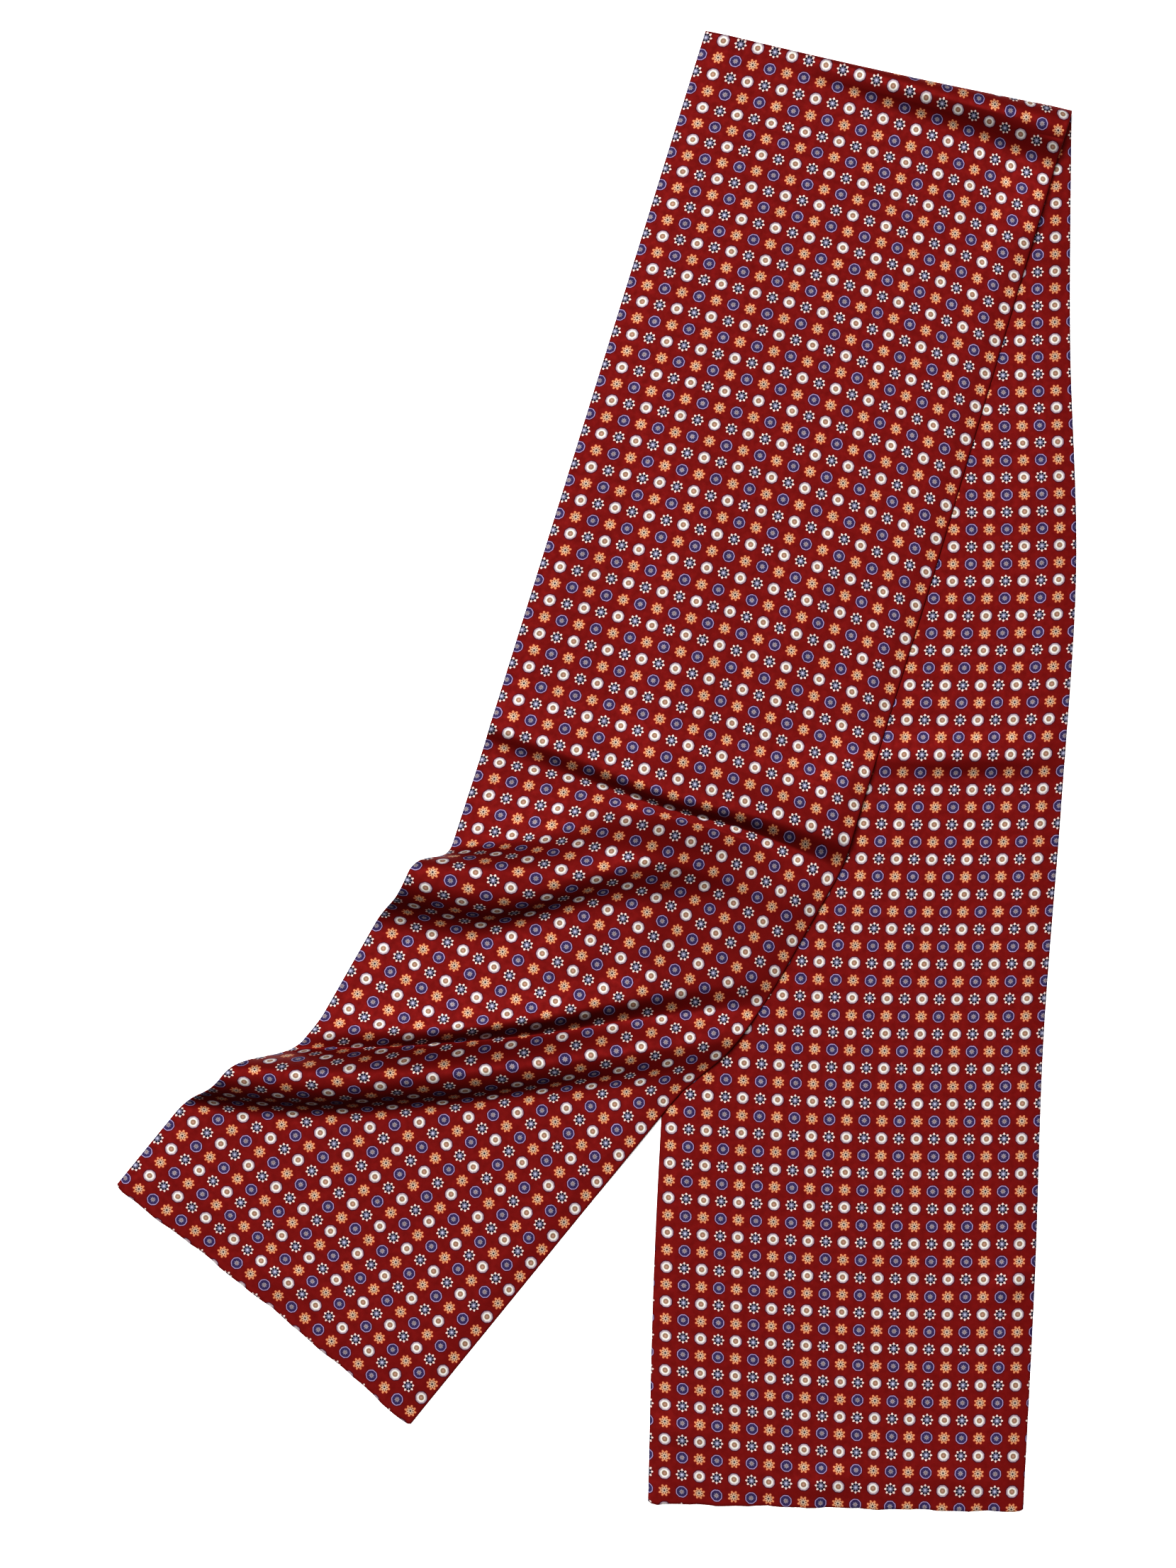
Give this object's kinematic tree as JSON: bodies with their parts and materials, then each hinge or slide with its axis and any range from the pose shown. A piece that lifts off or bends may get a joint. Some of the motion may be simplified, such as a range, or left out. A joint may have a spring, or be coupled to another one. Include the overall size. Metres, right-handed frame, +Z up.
{
  "type": "silk scarf",
  "caption": "Long narrow two-ply silk scarf, folded across once and laid flat with its halves apart like a V and soft ripples in the upper one.",
  "frame": {"origin": "centre of the laid scarf's box, on the surface that it lies on", "axes": "+Z up from the surface, +Y towards the fold, +X towards the under half's side"},
  "size_m": [0.5872, 0.907, 0.0298],
  "materials": {
    "upper_half_face_silk": "satin printed silk twill",
    "upper_half_back_silk": "satin printed silk twill",
    "under_half_face_silk": "satin printed silk twill",
    "under_half_back_silk": "satin printed silk twill",
    "top_fold_outer_silk": "satin printed silk twill",
    "top_fold_inner_silk": "satin printed silk twill"
  },
  "bodies": {
    "root": {"upper_half_face": "upper_half_face_silk", "upper_half_back": "upper_half_back_silk", "under_half_face": "under_half_face_silk", "under_half_back": "under_half_back_silk", "top_fold_outer": "top_fold_outer_silk", "top_fold_inner": "top_fold_inner_silk"}
  },
  "joints": []
}
